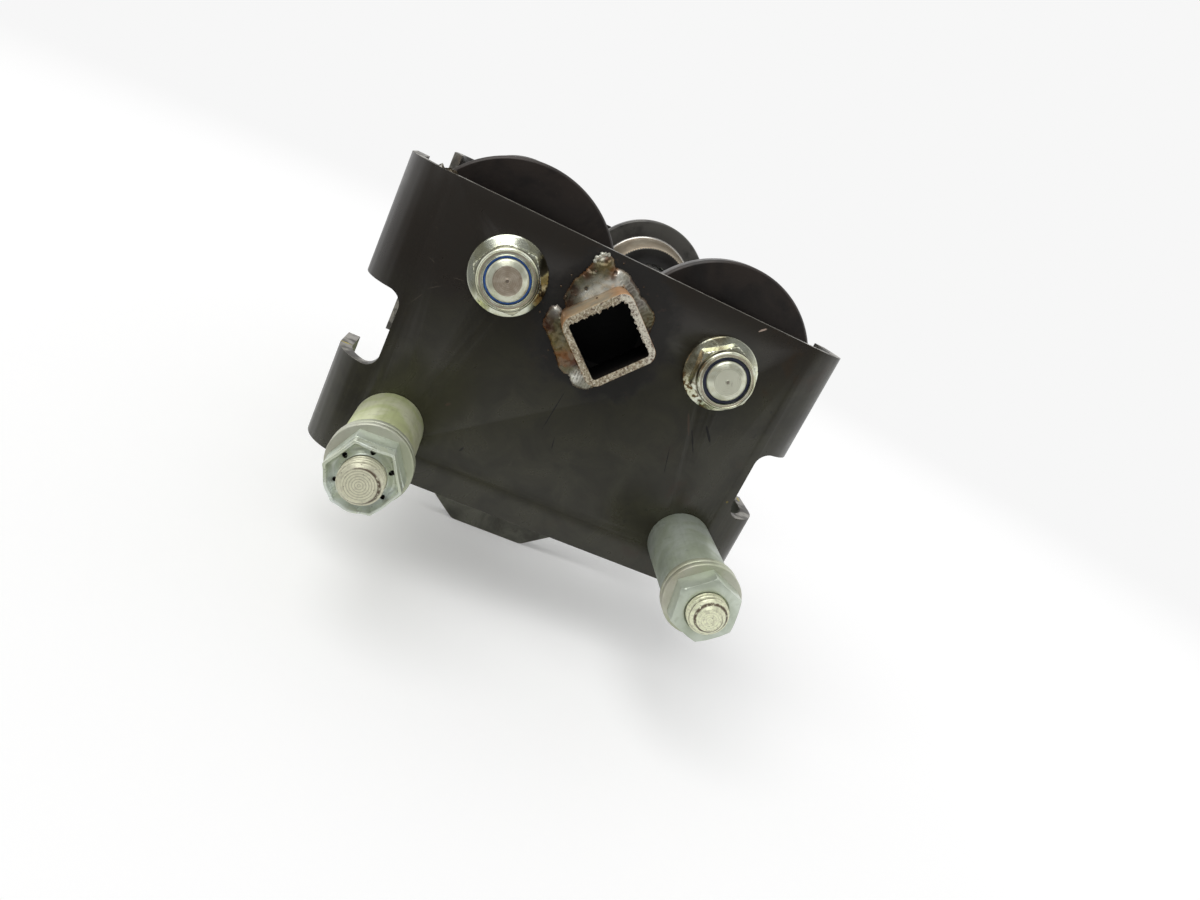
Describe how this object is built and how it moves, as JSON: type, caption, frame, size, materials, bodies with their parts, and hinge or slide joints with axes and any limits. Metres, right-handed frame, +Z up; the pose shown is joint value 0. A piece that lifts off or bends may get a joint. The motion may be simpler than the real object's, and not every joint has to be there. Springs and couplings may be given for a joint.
{
  "type": "manual beam trolley",
  "caption": "Push trolley that rolls on a beam's lower flange: two folded side plates with flanged track wheels, joined by tie rods that carry a pair of suspension plates for a hoist.",
  "frame": {"origin": "middle of the plan, at the lower edge of the suspension plates", "axes": "+X along the beam that the trolley runs on, +Y across the beam towards the side plate without the square tube, +Z up"},
  "size_m": [0.194, 0.383, 0.1855],
  "materials": {
    "black_paint": "satin",
    "zinc_plate": "satin",
    "bright_zinc": "satin",
    "axle_steel": "turned",
    "wheel_steel": "machined",
    "bearing_steel": "polished",
    "spring_steel": "dark oxide",
    "blue_nylon": "satin",
    "dark_nylon": "satin",
    "bare_tube": "saw cut, burnt",
    "weld_metal": "rough"
  },
  "bodies": {
    "trolley_frame": {"front_side_plate": "black_paint", "rear_side_plate": "black_paint", "front_suspension_plate": "black_paint", "rear_suspension_plate": "black_paint", "left_tie_rod": "zinc_plate", "right_tie_rod": "zinc_plate", "left_middle_spacer": "zinc_plate", "right_middle_spacer": "zinc_plate", "front_left_inner_spacer": "zinc_plate", "front_right_inner_spacer": "zinc_plate", "rear_left_inner_spacer": "zinc_plate", "rear_right_inner_spacer": "zinc_plate", "front_left_outer_spacer": "zinc_plate", "front_right_outer_spacer": "zinc_plate", "rear_left_outer_spacer": "zinc_plate", "rear_right_outer_spacer": "zinc_plate", "spacer_washers": "zinc_plate", "nut_washers": "zinc_plate", "tie_rod_nuts": "zinc_plate", "tie_rod_thin_nuts": "zinc_plate", "pressed_lock_nut": "zinc_plate", "square_tube": "bare_tube", "tube_weld": "weld_metal", "axle_lock_nuts": "bright_zinc", "left_nylon_rings": "blue_nylon", "right_nylon_rings": "dark_nylon", "axle_circlips": "spring_steel", "front_left_axle": "axle_steel", "front_right_axle": "axle_steel", "rear_left_axle": "axle_steel", "rear_right_axle": "axle_steel", "front_left_inner_race": "bearing_steel", "front_right_inner_race": "bearing_steel", "rear_left_inner_race": "bearing_steel", "rear_right_inner_race": "bearing_steel"},
    "front_left_wheel": {"front_left_wheel": "wheel_steel", "front_left_outer_race": "bearing_steel", "front_left_balls": "bearing_steel", "front_left_cage": "bearing_steel", "front_left_shields": "bearing_steel", "front_left_circlip": "spring_steel"},
    "front_right_wheel": {"front_right_wheel": "wheel_steel", "front_right_outer_race": "bearing_steel", "front_right_balls": "bearing_steel", "front_right_cage": "bearing_steel", "front_right_shields": "bearing_steel", "front_right_circlip": "spring_steel"},
    "rear_left_wheel": {"rear_left_wheel": "wheel_steel", "rear_left_outer_race": "bearing_steel", "rear_left_balls": "bearing_steel", "rear_left_cage": "bearing_steel", "rear_left_shields": "bearing_steel", "rear_left_circlip": "spring_steel"},
    "rear_right_wheel": {"rear_right_wheel": "wheel_steel", "rear_right_outer_race": "bearing_steel", "rear_right_balls": "bearing_steel", "rear_right_cage": "bearing_steel", "rear_right_shields": "bearing_steel", "rear_right_circlip": "spring_steel"}
  },
  "joints": [
    {"name": "front_left_spin", "type": "hinge", "parent": "trolley_frame", "child": "front_left_wheel", "pos_m": [-0.0465, -0.092, 0.1425], "axis": [0, 1, 0], "continuous": true},
    {"name": "front_right_spin", "type": "hinge", "parent": "trolley_frame", "child": "front_right_wheel", "pos_m": [0.0465, -0.092, 0.1425], "axis": [0, 1, 0], "continuous": true},
    {"name": "rear_left_spin", "type": "hinge", "parent": "trolley_frame", "child": "rear_left_wheel", "pos_m": [-0.0465, 0.092, 0.1425], "axis": [0, 1, 0], "continuous": true},
    {"name": "rear_right_spin", "type": "hinge", "parent": "trolley_frame", "child": "rear_right_wheel", "pos_m": [0.0465, 0.092, 0.1425], "axis": [0, 1, 0], "continuous": true}
  ]
}
